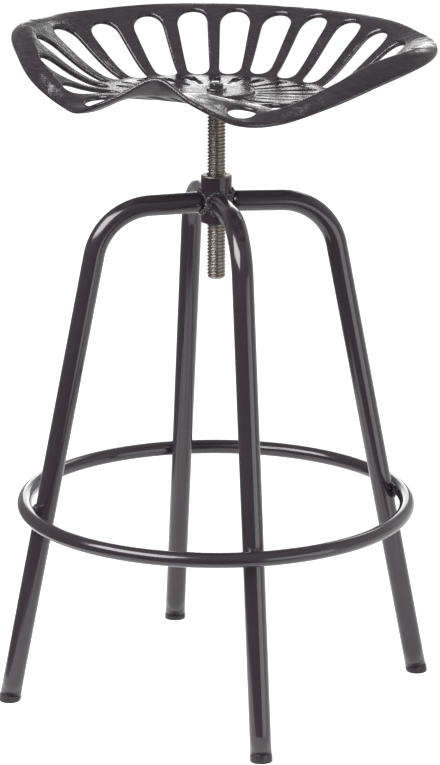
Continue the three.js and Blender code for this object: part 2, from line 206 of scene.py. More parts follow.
# The wall's slope at the shoulder as a share of twice its mean slope, and the radius where
# the two bands of slots meet
WALL_BOWL_SHARES = [0.45, 0.38, 0.38, 0.45, 0.47, 0.53, 0.58, 0.65, 0.88, 0.9, 0.76, 0.75, 0.7]
BETWEEN_SLOTS_SHARES = [
    0.455, 0.452, 0.462, 0.478, 0.485, 0.495, 0.5, 0.482, 0.449, 0.418, 0.425, 0.44, 0.44]

# Turns in degrees of the long slots, by number from the middle of the back, then of the
# thigh hole and of two places with no hole. The ends and the two widths of each hole are
# shares of HALF_WIDTH, and so are the thigh hole's centre, length and width.
SLOT_PITCHES = 22
SLOT_TURNS = [0, 16, 32.1, 48.1, 64.2, 80.2, 96.3, 112.3, 128.4, 146.7, 163.4, 180]
SLOT_START_SHARES = [0.483, 0.477, 0.495, 0.506, 0.514, 0.528, 0.52, 0.489, 0.45]
SLOT_END_SHARES = [0.777, 0.771, 0.791, 0.817, 0.848, 0.88, 0.852, 0.793, 0.709]
SLOT_WIDTH_SHARES = (0.106, 0.14)
INNER_SLOT_END_SHARES = [0.402, 0.43, 0.45, 0.461, 0.47, 0.476, 0.457, 0.42, 0.4, 0.405, 0.418]
INNER_SLOT_WIDTH_SHARES = (0.015, 0.048)
INNER_SLOT_GAP_SHARE = 0.022
THIGH_HOLE_SHARES = (0.621, 0.119, 0.125)

# The skin between the holes. INNER_EDGE is where the cells of the inner slots begin, and
# OUTER_MARGIN is how far inside the rim those of the long slots end.
INNER_EDGE = DISC_RADIUS + 3.4
OUTER_MARGIN = 6.0
FILLET = 2.0
INNER_FILLET = 1.2
FILLET_STEPS = 5
CELL_STEPS = 16
SIDE_STEPS = 28
INNER_SIDE_STEPS = 14
RINGS_OUT = 5
RING_SPACING = 0.85
FLOOR_STEPS = 14
WALL_STEPS = 26
LIP_STEPS = 12
RIM_SKIN_STEPS = 8
RIM_BEAD_STEPS = 12
UPRIGHT_STEPS = 4
SEAM_REACH = 0.03

# The middle disc's edge as distances past DISC_RADIUS: at its foot with a height over the
# skin round it, then with a height over the disc's face, on which the last places lie.
# Round the bolt hole it goes on with distances past BOLT_HOLE.
DISC_FOOT = [(2.4, 0), (1.6, 0.35)]
DISC_EDGE = [(1.1, -2.0), (0.9, -1.0), (0.4, -0.35), (-0.3, -0.08), (-1.4, 0), (-10, 0), (-20, 0), (-28, 0)]
BOLT_HOLE_CHAMFER = [(0.3, 0), (0, -0.4)]
UNDERSIDE_RING = 20.0


# Mesh making

def make_piece(name, points, faces, material, body, node, slot, smooth=True):
    """A mesh object from an array of points in millimetres and a list of face arrays. It
    rides on a body and stands for one node of the model."""
    mesh = bpy.data.meshes.new(name)
    corners = [face for block in faces for face in block.tolist()]
    mesh.from_pydata((points.reshape(-1, 3) * MM).tolist(), [], corners)
    mesh.validate()
    mesh.materials.append(material)
    mesh.polygons.foreach_set("use_smooth", np.full(len(mesh.polygons), smooth))
    mesh.update()
    piece = bpy.data.objects.new(name, mesh)
    bpy.context.scene.collection.objects.link(piece)
    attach(piece, body)
    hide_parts(node)
    return piece


def outward(piece):
    """Flips a closed piece's faces where its volume comes out negative."""
    mesh = piece.data
    points = np.empty(len(mesh.vertices) * 3)
    mesh.vertices.foreach_get("co", points)
    mesh.calc_loop_triangles()
    corners = np.empty(len(mesh.loop_triangles) * 3, int)
    mesh.loop_triangles.foreach_get("vertices", corners)
    a, b, c = points.reshape(-1, 3)[corners.reshape(-1, 3)].transpose(1, 0, 2)
    if np.einsum("ij,ij->i", a, np.cross(b, c)).sum() < 0:
        mesh.flip_normals()


def grid_faces(rows, columns, wrap_rows=False, wrap_columns=True):
    """Quads of a grid of points stored row by row. A wrapped direction joins its ends."""
    row = np.arange(rows if wrap_rows else rows - 1)
    column = np.arange(columns if wrap_columns else columns - 1)
    i, j = np.meshgrid(row, column, indexing="ij")
    next_i = (i + 1) % rows
    next_j = (j + 1) % columns
    quads = [i * columns + j, i * columns + next_j, next_i * columns + next_j, next_i * columns + j]
    return np.stack(quads, -1).reshape(-1, 4)


def capped_faces(rows, sides):
    """Faces of rows of rings, whose first and last ring are closed by fans of triangles to
    two middle points stored after the rings."""
    around = np.arange(sides)
    ahead = (around + 1) % sides
    first = rows * sides
    top = first - sides
    low_fan = np.stack([np.full(sides, first), ahead, around], -1)
    high_fan = np.stack([np.full(sides, first + 1), top + around, top + ahead], -1)
    return [grid_faces(rows, sides), low_fan, high_fan]


def joined(blocks):
    """Blocks, each of points and faces, as one array of points and one list of faces."""
    points = [block[0].reshape(-1, 3) for block in blocks]
    starts = np.cumsum([0] + [len(part) for part in points[:-1]])
    faces = [block[1] + start for block, start in zip(blocks, starts)]
    return np.concatenate(points), faces


def looped_piece(name, points, material, body, node, slot, smooth=True):
    """A piece from a grid of points that joins up with itself both ways."""
    rows, sides = points.shape[:2]
    faces = [grid_faces(rows, sides, wrap_rows=True)]
    outward(make_piece(name, points, faces, material, body, node, slot, smooth))


def capped_piece(name, rings, middles, material, body, node, slot):
    """A piece from rows of rings, closed at both ends round two middle points."""
    points = np.concatenate([rings.reshape(-1, 3), middles])
    outward(make_piece(name, points, capped_faces(*rings.shape[:2]), material, body, node, slot))


def evenly(steps):
    """The shares from nought to one at even steps."""
    return np.linspace(0, 1, steps + 1)


def turns(count):
    """Angles evenly spaced round a full turn."""
    return np.arange(count) / count * TURN


def upright_rings(radius, angle, height):
    """Points at a radius, an angle and a height round the upright axis."""
    return np.stack(np.broadcast_arrays(radius * np.cos(angle), radius * np.sin(angle), height), -1)


def turned_points(profile, sides):
    """Points of a turned surface: each [radius, height] corner of the profile goes round
    the upright axis."""
    return upright_rings(profile[:, :1], turns(sides), profile[:, 1:])


def turned_ring(bore, radius, low, high, rounding, steps, sides):
    """Points of a round boss or flat ring with a bore and rounded edges."""
    corners = [[bore, low], [radius, low], [radius, high], [bore, high]]
    return turned_points(rounded(corners, rounding, steps), sides)


# The most of a side that a rounded corner takes
MOST_OF_A_SIDE = 0.45


def rounded(corners, radius, steps):
    """A profile with each corner replaced by a small arc: points on a quadratic curve
    between the places a radius before and after the corner, or nearly half a side away."""
    corners = np.asarray(corners, float)
    share = evenly(steps)[:, None]
    out = []
    for here, before, after in zip(corners, np.roll(corners, 1, 0), np.roll(corners, -1, 0)):
        back = before - here
        ahead = after - here
        cut = min(radius, np.hypot(*back) * MOST_OF_A_SIDE, np.hypot(*ahead) * MOST_OF_A_SIDE)
        first = here + back / np.hypot(*back) * cut
        last = here + ahead / np.hypot(*ahead) * cut
        out.append((1 - share) ** 2 * first + 2 * share * (1 - share) * here + share ** 2 * last)
    return np.concatenate(out)


def section_rings(first, second, sides):
    """Unit rings along a path, each in the plane of its pair of unit axes."""
    angle = turns(sides)[None, :, None]
    return first[:, None, :] * np.cos(angle) + second[:, None, :] * np.sin(angle)


def tube_points(path, radius, sides):
    """A round section carried along a path in an upright plane."""
    tangent = np.gradient(path, axis=0)
    tangent /= np.linalg.norm(tangent, axis=1)[:, None]
    normal = np.cross(tangent[0], tangent[len(path) // 2])
    normal /= np.linalg.norm(normal)
    rings = section_rings(np.cross(tangent, normal), np.broadcast_to(normal, tangent.shape), sides)
    return path[:, None, :] + rings * radius


def about_axis(points, degrees):
    """Points turned about the spindle axis."""
    angle = math.radians(degrees)
    c, s = math.cos(angle), math.sin(angle)
    x, y, z = np.moveaxis(points, -1, 0)
    return np.stack([x * c - y * s, x * s + y * c, z], -1)


def along_leg(points, height, further=0.0):
    """Points made upright round the origin, leaned as a leg is and moved to the leg's
    middle line at a height, or a length further out."""
    c, s = math.cos(LEG_LEAN), math.sin(LEG_LEAN)
    x, y, z = np.moveaxis(points, -1, 0)
    out = x * c - z * s + FOOT_SPREAD - LEG_SLOPE * height + further
    return np.stack([out, y, x * s + z * c + height], -1)


# Finishes

# Places of a Mix node's two colours among its inputs, and of the mix among its outputs
MIX_FIRST = 6
MIX_SECOND = 7
MIX_RESULT = 2


def new_finish(name):
    """A material with its node tree and its shader."""
    material = bpy.data.materials.new(name)
    material.use_nodes = True
    tree = material.node_tree
    return material, tree, tree.nodes["Principled BSDF"]


def object_place(tree, output="Object"):
    """The place, or the facing, of a point of the surface in the object's own axes."""
    return tree.nodes.new("ShaderNodeTexCoord").outputs[output]


def axes(tree, vector):
    """The three numbers of a vector, as the outputs X, Y and Z."""
    node = tree.nodes.new("ShaderNodeSeparateXYZ")
    tree.links.new(vector, node.inputs["Vector"])
    return node.outputs


def noise(tree, scale, detail=3.0, roughness=0.5, place=None):
    """Noise on object coordinates, or on another set of places."""
    texture = tree.nodes.new("ShaderNodeTexNoise")
    texture.inputs["Scale"].default_value = scale
    texture.inputs["Detail"].default_value = detail
    texture.inputs["Roughness"].default_value = roughness
    if place is None:
        place = object_place(tree)
    tree.links.new(place, texture.inputs["Vector"])
    return texture.outputs["Fac"]


def spread(tree, value, source, target, kind="LINEAR"):
    """A value mapped from one range to another and held there."""
    node = tree.nodes.new("ShaderNodeMapRange")
    node.interpolation_type = kind
    for socket, number in zip(("From Min", "From Max", "To Min", "To Max"), source + target):
        node.inputs[socket].default_value = number
    tree.links.new(value, node.inputs["Value"])
    return node.outputs["Result"]


def combine(tree, operation, *values):
    """A Math node on values that are each a socket or a number."""
    node = tree.nodes.new("ShaderNodeMath")
    node.operation = operation
    for socket, value in zip(node.inputs, values):
        if isinstance(value, bpy.types.NodeSocket):
            tree.links.new(value, socket)
        else:
            socket.default_value = value
    return node.outputs["Value"]


def mix_colour(tree, amount, first, second):
    """A colour between two, by an amount."""
    node = tree.nodes.new("ShaderNodeMix")
    node.data_type = "RGBA"
    tree.links.new(amount, node.inputs["Factor"])
    node.inputs[MIX_FIRST].default_value = (*first, 1)
    node.inputs[MIX_SECOND].default_value = (*second, 1)
    return node.outputs[MIX_RESULT]


def bump(tree, height, strength, distance, before=None):
    """A normal raised by a height, on top of the one before it."""
    node = tree.nodes.new("ShaderNodeBump")
    node.inputs["Strength"].default_value = strength
    node.inputs["Distance"].default_value = distance
    tree.links.new(height, node.inputs["Height"])
    if before is not None:
        tree.links.new(before, node.inputs["Normal"])
    return node.outputs["Normal"]


def dress(tree, shader, colour, roughness, relief):
    """Links the three things that change over every finish."""
    tree.links.new(colour, shader.inputs["Base Color"])
    tree.links.new(roughness, shader.inputs["Roughness"])
    tree.links.new(relief, shader.inputs["Normal"])


def clear_coat(shader, weight, roughness):
    """The hard, wet-looking top of gloss enamel."""
    shader.inputs["Coat Weight"].default_value = weight
    shader.inputs["Coat Roughness"].default_value = roughness


def gloss_paint():
    """Gloss black enamel on tube: a faint orange peel and a few duller patches."""
    material, tree, shader = new_finish("gloss_enamel")
    colour = mix_colour(tree, noise(tree, scale=14), (0.0245, 0.0165, 0.0230), (0.0320, 0.0225, 0.0300))
    roughness = spread(tree, noise(tree, scale=35, detail=4), (0.35, 0.7), (0.13, 0.22))
    peel = bump(tree, noise(tree, scale=420, detail=2), strength=0.05, distance=0.0006)
    dress(tree, shader, colour, roughness, peel)
    clear_coat(shader, weight=0.8, roughness=0.13)
    return material


def round_the_axis(tree, along, across):
    """Places that follow the seat round: the turn about the upright axis, the distance from
    the origin on the floor and the height, each times a scale."""
    place = object_place(tree)
    apart = axes(tree, place)
    turn = combine(tree, "ARCTAN2", apart["X"], apart["Y"])
    distance = tree.nodes.new("ShaderNodeVectorMath")
    distance.operation = "LENGTH"
    tree.links.new(place, distance.inputs[0])
    followed = tree.nodes.new("ShaderNodeCombineXYZ")
    scaled = (turn, along), (distance.outputs["Value"], across), (apart["Z"], across)
    for socket, (value, scale) in zip(followed.inputs, scaled):
        tree.links.new(combine(tree, "MULTIPLY", value, scale), socket)
    return followed.outputs["Vector"]


def cast_paint():
    """Gloss enamel over the skin of an iron casting: slow waves, streaks that run round
    the seat where the mould was smoothed, and a fine grain. The colour is lighter along the
    streaks: a painted sheen for their highlights. Underneath it is duller."""
    material, tree, shader = new_finish("cast_enamel")
    facing = axes(tree, object_place(tree, "Normal"))
    patches = spread(tree, noise(tree, scale=60, detail=5), (0.35, 0.7), (0.09, 0.24))
    underneath = spread(tree, facing["Z"], (-0.6, -0.2), (0.26, 0))
    followed = round_the_axis(tree, along=16, across=300)
    streaks = noise(tree, scale=1, detail=4, roughness=0.6, place=followed)
    # Painted sheen: the colour is lighter along the streaks and stands in for their highlights.
    streak_sheen = spread(tree, streaks, (0.38, 0.68), (0, 1))
    colour = mix_colour(tree, streak_sheen, (0.0185, 0.0120, 0.0170), (0.0370, 0.0280, 0.0345))
    waves = bump(tree, noise(tree, scale=70, detail=2), strength=0.35, distance=0.0026)
    drawn = bump(tree, streaks, strength=0.42, distance=0.0010, before=waves)
    grain = bump(tree, noise(tree, scale=560), strength=0.22, distance=0.0008, before=drawn)
    dress(tree, shader, colour, combine(tree, "ADD", patches, underneath), grain)
    shader.inputs["IOR"].default_value = 1.75
    return material


def screw_steel():
    """Bare, slightly browned steel, darker in patches, with fine turning marks."""
    material, tree, shader = new_finish("bare_screw_steel")
    brown = noise(tree, scale=160, detail=4, roughness=0.65)
    colour = mix_colour(tree, brown, (0.17, 0.145, 0.130), (0.46, 0.40, 0.365))
    roughness = spread(tree, noise(tree, scale=300), (0.3, 0.7), (0.2, 0.36))
    flattened = tree.nodes.new("ShaderNodeMapping")
    flattened.inputs["Scale"].default_value = (1, 1, 3)
    tree.links.new(object_place(tree), flattened.inputs["Vector"])
    marks = noise(tree, scale=900, detail=2, place=flattened.outputs["Vector"])
    dress(tree, shader, colour, roughness, bump(tree, marks, strength=0.12, distance=0.0003))
    shader.inputs["Metallic"].default_value = 0.92
    return material


def zinc():
    """Zinc-plated steel of the bolt and its washer."""
    material, tree, shader = new_finish("zinc_plate")
    colour = mix_colour(tree, noise(tree, scale=220, detail=4), (0.14, 0.138, 0.142), (0.36, 0.355, 0.36))
    roughness = spread(tree, noise(tree, scale=400), (0.3, 0.7), (0.22, 0.4))
    grain = bump(tree, noise(tree, scale=1200, detail=2), strength=0.1, distance=0.0002)
    dress(tree, shader, colour, roughness, grain)
    shader.inputs["Metallic"].default_value = 1
    return material


def weld_paint():
    """Enamel over weld beads, glossy on their ripples."""
    material, tree, shader = new_finish("enamel_on_weld")
    colour = mix_colour(tree, noise(tree, scale=240), (0.022, 0.015, 0.020), (0.038, 0.027, 0.035))
    roughness = spread(tree, noise(tree, scale=350), (0.35, 0.7), (0.06, 0.18))
    ripples = bump(tree, noise(tree, scale=360, roughness=0.6), strength=1.0, distance=0.0050)
    dress(tree, shader, colour, roughness, ripples)
    clear_coat(shader, weight=1.0, roughness=0.05)
    return material


def cap_plastic():
    """Moulded plastic of the feet, with a fine moulded grain."""
    material, tree, shader = new_finish("moulded_cap")
    mottle = noise(tree, scale=120, detail=4)
    colour = mix_colour(tree, mottle, (0.0240, 0.0165, 0.0225), (0.0320, 0.0235, 0.0300))
    roughness = spread(tree, noise(tree, scale=200), (0.3, 0.7), (0.2, 0.34))
    grain = bump(tree, noise(tree, scale=1500, detail=2), strength=0.15, distance=0.0003)
    dress(tree, shader, colour, roughness, grain)
    return material


def hub_paint():
    """The hub's enamel, with a painted highlight on its top face: a lighter, metallic steel colour there.
    """
    material, tree, shader = new_finish("hub_enamel")
    height = axes(tree, object_place(tree))["Z"]
    uneven = spread(tree, noise(tree, scale=260, detail=4), (0.3, 0.7), (-0.0008, 0.0008))
    # Painted highlight: the top face gets a lighter, metallic steel colour and is a little rougher.
    top_highlight = spread(tree, combine(tree, "ADD", uneven, height), (0.5560, 0.5574), (0, 1))
    colour = mix_colour(tree, top_highlight, (0.0330, 0.0210, 0.0300), (0.36, 0.32, 0.30))
    peel = bump(tree, noise(tree, scale=500, detail=2), strength=0.12, distance=0.0006)
    dress(tree, shader, colour, spread(tree, top_highlight, (0, 1), (0.2, 0.34)), peel)
    tree.links.new(top_highlight, shader.inputs["Metallic"])
    return material


ENAMEL = gloss_paint()
CAST = cast_paint()
SCREW = screw_steel()
ZINC = zinc()
WELD = weld_paint()
PLASTIC = cap_plastic()
HUB_FINISH = hub_paint()


# Legs, feet and foot ring

def leg_path():
    """The leg's middle line in its own upright plane: a straight arm, an arc of the bend
    radius and a straight leg. The arm's flat end goes a little way into the hub's round."""
    elbow_r = (FOOT_SPREAD - LEG_SLOPE * ARM_HEIGHT) / (1 - LEG_SLOPE * math.tan(ARM_DROOP))
    elbow_z = ARM_HEIGHT - math.tan(ARM_DROOP) * elbow_r
    bend = math.pi / 2 - LEG_LEAN - ARM_DROOP
    setback = BEND_RADIUS * math.tan(bend / 2)
    arm_end = np.array([elbow_r - setback * math.cos(ARM_DROOP), elbow_z + setback * math.sin(ARM_DROOP)])
    centre = arm_end - BEND_RADIUS * np.array([math.sin(ARM_DROOP), math.cos(ARM_DROOP)])
    turn = ARM_DROOP + bend * evenly(BEND_STEPS)
    arc = centre + BEND_RADIUS * np.stack([np.sin(turn), np.cos(turn)], -1)
    start_r = HUB_RADIUS + CLEARANCE - ARM_SINK
    start = np.array([start_r, ARM_HEIGHT - math.tan(ARM_DROOP) * start_r])
    end = np.array([FOOT_SPREAD - LEG_SLOPE * CAP_HEIGHT, CAP_HEIGHT])
    arm = start + (arc[0] - start) * evenly(ARM_STEPS)[:-1, None]
    leg = arc[-1] + (end - arc[-1]) * evenly(LEG_STEPS)[1:, None]
    flat = np.concatenate([arm, arc, leg])
    return np.stack([flat[:, 0], 0 * flat[:, 0], flat[:, 1]], -1)


def build_legs():
    """Four tubes swept along the leg's middle line and turned to their places."""
    path = leg_path()
    rings = tube_points(path, LEG_RADIUS, TUBE_SIDES)
    ends = path[[0, -1]]
    for leg, degrees in LEG_TURNS.items():
        capped_piece(leg + "_tube", about_axis(rings, degrees), about_axis(ends, degrees),
                     ENAMEL, "frame", leg, "gloss_paint")


def build_caps():
    """A foot round each leg's end: a turned shape with rolled edges, leaned with the leg
    and pressed flat where it meets the floor."""
    outer = LEG_RADIUS + CAP_RIM
    reach = CAP_HEIGHT / math.cos(LEG_LEAN) + LEG_RADIUS * LEG_SLOPE
    corners = [[CAP_PINHOLE, -reach], [outer, -reach], [outer, -CAP_SHOULDER],
               [LEG_RADIUS + CAP_LIP_RIM, CAP_LIP], [CAP_PINHOLE, CAP_LIP]]
    upright = turned_points(rounded(corners, CAP_ROUNDING, CAP_CORNER_STEPS), TUBE_SIDES)
    standing = along_leg(upright, CAP_HEIGHT)
    standing[..., 2] = np.maximum(standing[..., 2], 0)
    for leg, degrees in LEG_TURNS.items():
        node = leg.replace("leg", "foot_cap")
        looped_piece(node + "_moulding", about_axis(standing, degrees),
                     PLASTIC, "frame", node, "cap_plastic")


def build_ring():
    """The rolled foot ring: a circle swept round a circle."""
    angle = turns(RING_SIDES)
    radius = RING_RADIUS + RING_TUBE_RADIUS * np.cos(angle)
    height = RING_HEIGHT + RING_TUBE_RADIUS * np.sin(angle)
    points = upright_rings(radius, turns(RING_STEPS)[:, None], height)
    looped_piece("foot_ring_tube", points, ENAMEL, "frame", "foot_ring", "gloss_paint")


# Hub, welds and screw

def build_hub():
    """A round boss with a bore and rounded edges."""
    points = turned_ring(SCREW_BORE, HUB_RADIUS, HUB_BOTTOM, HUB_TOP,
                         HUB_ROUNDING, HUB_CORNER_STEPS, TURNED_SIDES)
    looped_piece("hub_boss", points, HUB_FINISH, "frame", "hub", "gloss_paint")


def lumps(points, seed, size, height):
    """Smooth random swell: a sum of sine waves in fixed directions, mostly between minus
    and plus the height."""
    random = np.random.default_rng(seed)
    total = np.zeros(points.shape[:-1])
    for _ in range(SWELL_WAVES):
        direction = random.normal(size=3)
        direction *= TURN / size * random.uniform(*SWELL_WAVE_SHARES) / np.linalg.norm(direction)
        total += np.sin(points @ direction + random.uniform(0, TURN))
    return total / SWELL_WAVES * height * 2


def build_hub_welds():
    """One ripple-faced bead round each arm: a round section carried along the line where
    the arm's tube meets the hub, swelling and shrinking as each drop of weld set."""
    turn = turns(BEAD_STEPS)
    side = LEG_RADIUS * np.sin(turn)
    out = np.sqrt(HUB_RADIUS ** 2 - side ** 2)
    line = np.stack([out, side, ARM_HEIGHT + LEG_RADIUS * np.cos(turn) - math.tan(ARM_DROOP) * out], -1)
    tangent = np.roll(line, -1, 0) - np.roll(line, 1, 0)
    tangent /= np.linalg.norm(tangent, axis=1)[:, None]
    away = np.stack([BEAD_OUT + 0 * turn, BEAD_AWAY * np.sin(turn), BEAD_AWAY * np.cos(turn)], -1)
    away -= tangent * np.einsum("ij,ij->i", away, tangent)[:, None]
    away /= np.linalg.norm(away, axis=1)[:, None]
    rings = section_rings(away, np.cross(tangent, away), BEAD_SIDES)
    quads = grid_faces(BEAD_STEPS, BEAD_SIDES, wrap_rows=True)
    beads = []
    for index, degrees in enumerate(LEG_TURNS.values()):
        ripple = BEAD_RADIUS + BEAD_RIPPLE * np.sin(turn * BEAD_DROPS + index)
        ripple = ripple + lumps(line, SEED_SWELL + index, SWELL_SIZE, SWELL_HEIGHT)
        points = line[:, None, :] + rings * ripple[:, None, None]
        points += rings * lumps(points, SEED_GRAIN + index, GRAIN_SIZE, GRAIN_HEIGHT)[..., None]
        beads.append((about_axis(points, degrees), quads))
    outward(make_piece("hub_weld_beads", *joined(beads), WELD, "frame", "hub_welds", "gloss_paint"))


def build_ring_welds():
    """A lump of weld in the crotch between ring and leg: an egg with a random swell."""
    tilt = np.linspace(POLE_TILT, math.pi - POLE_TILT, RING_WELD_ROWS)[:, None]
    ball = upright_rings(np.sin(tilt), turns(RING_WELD_SIDES), np.cos(tilt))
    leg_side = LEG_RADIUS / math.cos(LEG_LEAN)
    for index, (leg, degrees) in enumerate(LEG_TURNS.items()):
        swell = lumps(ball * RING_WELD_BALL, SEED_RING_WELD + index, RING_SWELL_SIZE, RING_SWELL_SHARE)
        egg = ball * np.array(RING_WELD_RADII) * (1 + swell)[..., None]
        rings = along_leg(egg, RING_HEIGHT, leg_side)
        poles = rings[[0, -1]].mean(1)
        node = leg.replace("leg", "ring_weld")
        capped_piece(node + "_bead", about_axis(rings, degrees), about_axis(poles, degrees),
                     WELD, "frame", node, "gloss_paint")


def build_screw():
    """A right-hand thread: the radius at a height and angle depends only on where the
    height lies in the pitch after the helix's own rise is taken off. It is a cosine wave,
    stretched and then cut off flat at the crest and the root."""
    rows = int((PLATE_TOP - SCREW_LOW_END) / SCREW_PITCH * ROWS_A_THREAD)
    height = np.linspace(SCREW_LOW_END, PLATE_TOP, rows)[:, None]
    angle = turns(SCREW_SIDES)
    place = ((height - SCREW_PITCH * angle / TURN) / SCREW_PITCH) % 1
    wave = 0.5 - 0.5 * np.cos(TURN * place)
    crest = np.clip(THREAD_STRETCH * wave - THREAD_ROOT, 0, 1)
    threaded = SCREW_RADIUS - THREAD_DEPTH + THREAD_DEPTH * crest
    from_end = np.minimum(1, (height - SCREW_LOW_END) / SCREW_CHAMFER)
    chamfered = SCREW_RADIUS - SCREW_CHAMFER * (1 - from_end)
    rings = upright_rings(np.minimum(threaded, chamfered), angle, height)
    ends = np.array([[0, 0, SCREW_LOW_END], [0, 0, PLATE_TOP]])
    capped_piece("threaded_spindle", rings, ends, SCREW, "swivel_seat", "spindle", "screw_steel")


def build_plate():
    """The round plate under the seat's disc, welded to the top of the spindle."""
    points = turned_ring(SCREW_BORE, PLATE_RADIUS, PLATE_TOP - PLATE_THICKNESS, PLATE_TOP,
                         PLATE_ROUNDING, SMALL_CORNER_STEPS, TURNED_SIDES)
    looped_piece("seat_carrier_plate", points, ENAMEL, "swivel_seat", "seat_plate", "gloss_paint")


def build_washer():
    """The flat round washer on the seat's disc."""
    points = turned_ring(BOLT_HOLE, WASHER_RADIUS, WASHER_BOTTOM, WASHER_BOTTOM + WASHER_THICKNESS,
                         WASHER_ROUNDING, SMALL_CORNER_STEPS, WASHER_SIDES)
    looped_piece("flat_washer", points, ZINC, "lift", "seat_washer", "zinc")


def build_bolt():
    """The hexagon bolt head: rings of points that keep within the hexagon's outline."""
    angle = turns(TURNED_SIDES)
    wedge = (angle + TURN / 12) % (TURN / 6) - TURN / 12
    radius, height = np.array(BOLT_HEAD).T[..., None]
    rings = upright_rings(np.minimum(HALF_FLATS / np.cos(wedge), radius), angle, HEAD_BOTTOM + height)
    looped_piece("hexagon_bolt", rings, ZINC, "swivel_seat", "seat_bolt", "zinc", smooth=False)


# The cast seat

def ring_value(shares, turn):
    """A closed Catmull-Rom curve through the 24 mirrored stations, read at any turn."""
    table = np.concatenate([shares, shares[-2:0:-1]])
    count = len(table)
    place = (turn / TURN * count) % count
    i = np.floor(place).astype(int)
    t = place - i
    p0, p1, p2, p3 = (table[(i + step) % count] for step in (-1, 0, 1, 2))
    return 0.5 * (2 * p1 + (p2 - p0) * t + (2 * p0 - 5 * p1 + 4 * p2 - p3) * t ** 2
                  + (3 * p1 - p0 - 3 * p2 + p3) * t ** 3)


def ring_radius(shares, turn):
    """A radius of the pan at any turn."""
    return ring_value(shares, turn) * HALF_WIDTH


def hermite(z0, z1, run, slope0, slope1, t):
    """A cubic from height z0 to z1 over a run, with a given slope at each end."""
    return (z0 + (z1 - z0) * (3 * t ** 2 - 2 * t ** 3)
            + run * (slope0 * (t ** 3 - 2 * t ** 2 + t) + slope1 * (t ** 3 - t ** 2)))


def middle_line(turn):
    """The line in the middle of the pan's wall at each turn, as radius, height and half the
    wall: from the disc's edge a cubic over the floor, a cubic up to the shoulder and a
    quadratic on to the rim. The slope between the cubics is the harmonic mean of their mean
    slopes, or level where one of these falls and the other rises."""
    drop = DISC_STEP + SEAT_WALL / 2
    floor_r = ring_radius(FLOOR_RADIUS_SHARES, turn)
    floor_z = ring_value(FLOOR_HEIGHT_SHARES, turn) * SEAT_RISE - drop
    shoulder_r = ring_radius(SHOULDER_RADIUS_SHARES, turn)
    shoulder_z = ring_value(SHOULDER_HEIGHT_SHARES, turn) * SEAT_RISE - SEAT_WALL / 2
    rim_r = ring_radius(RIM_RADIUS_SHARES, turn)
    rim_z = ring_value(RIM_HEIGHT_SHARES, turn) * SEAT_RISE
    edge_r = DISC_RADIUS + DISC_STEP / 2
    floor_slope = (floor_z + drop) / (floor_r - edge_r)
    wall_slope = (shoulder_z - floor_z) / (shoulder_r - floor_r)
    product = floor_slope * wall_slope
    total = np.where(product > 0, floor_slope + wall_slope, 1)
    foot_slope = np.where(product > 0, 2 * product / total, 0)
    shoulder_slope = 2 * ring_value(WALL_BOWL_SHARES, turn) * wall_slope
    rise = shoulder_slope * (rim_r - shoulder_r)

    t = evenly(FLOOR_STEPS)[:-1]
    radii = [edge_r + (floor_r - edge_r) * t]
    heights = [hermite(-drop, floor_z, floor_r - edge_r, 0, foot_slope, t)]
    t = evenly(WALL_STEPS)
    radii.append(floor_r + (shoulder_r - floor_r) * t)
    heights.append(hermite(floor_z, shoulder_z, shoulder_r - floor_r, foot_slope, shoulder_slope, t))
    t = evenly(LIP_STEPS)[1:]
    radii.append(shoulder_r + (rim_r - shoulder_r) * t)
    heights.append(shoulder_z + rise * t + (rim_z - shoulder_z - rise) * t ** 2)
    wall = np.full(FLOOR_STEPS + WALL_STEPS + 1, SEAT_WALL)
    half = np.concatenate([wall, SEAT_WALL + (RIM_BEAD - SEAT_WALL) * t]) / 2
    return np.hstack(radii), np.hstack(heights), half


def pan_section(turn):
    """The pan's section at each turn: [radius, height] of its upper and its lower line, from
    the middle out to the rim, then the middle line's last point and its normal. Half the
    wall is set off to each side, straight up and down next to the disc."""
    radius, height, half = middle_line(turn[:, None])
    along_r = np.gradient(radius, axis=1)
    along_z = np.gradient(height, axis=1)
    from_disc = np.clip(np.arange(radius.shape[1]) / UPRIGHT_STEPS, 0, 1)
    normal_r = -along_z / np.hypot(along_r, along_z) * from_disc
    normal = np.stack([normal_r, np.sqrt(1 - normal_r ** 2)], -1)
    middle = np.stack([radius, height], -1)
    aside = normal * half[:, None]
    return middle + aside, middle - aside, middle[:, -1], normal[:, -1]


def height_on(line, radius):
    """The height of a section line at a radius, by linear steps along the line. The inner
    part, inside the first station, keeps the line's first height."""
    r, z = line[..., 0], line[..., 1]
    index = np.clip((r < radius[:, None]).sum(1) - 1, 0, r.shape[1] - 2)
    rows = np.arange(len(radius))
    r0, r1 = r[rows, index], r[rows, index + 1]
    z0, z1 = z[rows, index], z[rows, index + 1]
    return z0 + (z1 - z0) * np.clip((radius - r0) / (r1 - r0), 0, 1)


def skin_heights(x, y):
    """Heights of the pan's upper and lower skin over places in plan."""
    turn = (np.arctan2(x, y) % TURN).ravel()
    radius = np.hypot(x, y).ravel()
    upper, lower = pan_section(turn)[:2]
    return height_on(upper, radius).reshape(x.shape), height_on(lower, radius).reshape(x.shape)


def slot_turn(number):
    """Turn of a slot by its number from the middle of the back; between whole numbers it
    runs evenly, and numbers past the front go on round the other side."""
    half = np.array(SLOT_TURNS, float)
    once = np.concatenate([half, 360 - half[-2:0:-1]])
    steps = np.arange(-len(once), 2 * len(once))
    table = np.concatenate([once - 360, once, once + 360])
    return np.radians(np.interp(number, steps, table))


def inner_edge(turn):
    """The radius where the inner slots' cells begin, just past the disc's step."""
    return np.full_like(turn, INNER_EDGE)


def slot_between(turn):
    """The radius where the two bands of slots meet."""
    return ring_radius(BETWEEN_SLOTS_SHARES, turn)


def slot_outer(turn):
    """The radius past the long slots' outer ends, a little inside the rim."""
    return ring_radius(RIM_RADIUS_SHARES, turn) - OUTER_MARGIN


def block(x, y, z, faces):
    """A block of points on the seat and its faces. Heights count from the disc's face."""
    return np.stack([x.ravel(), y.ravel(), z.ravel() + SEAT_TOP], -1), faces


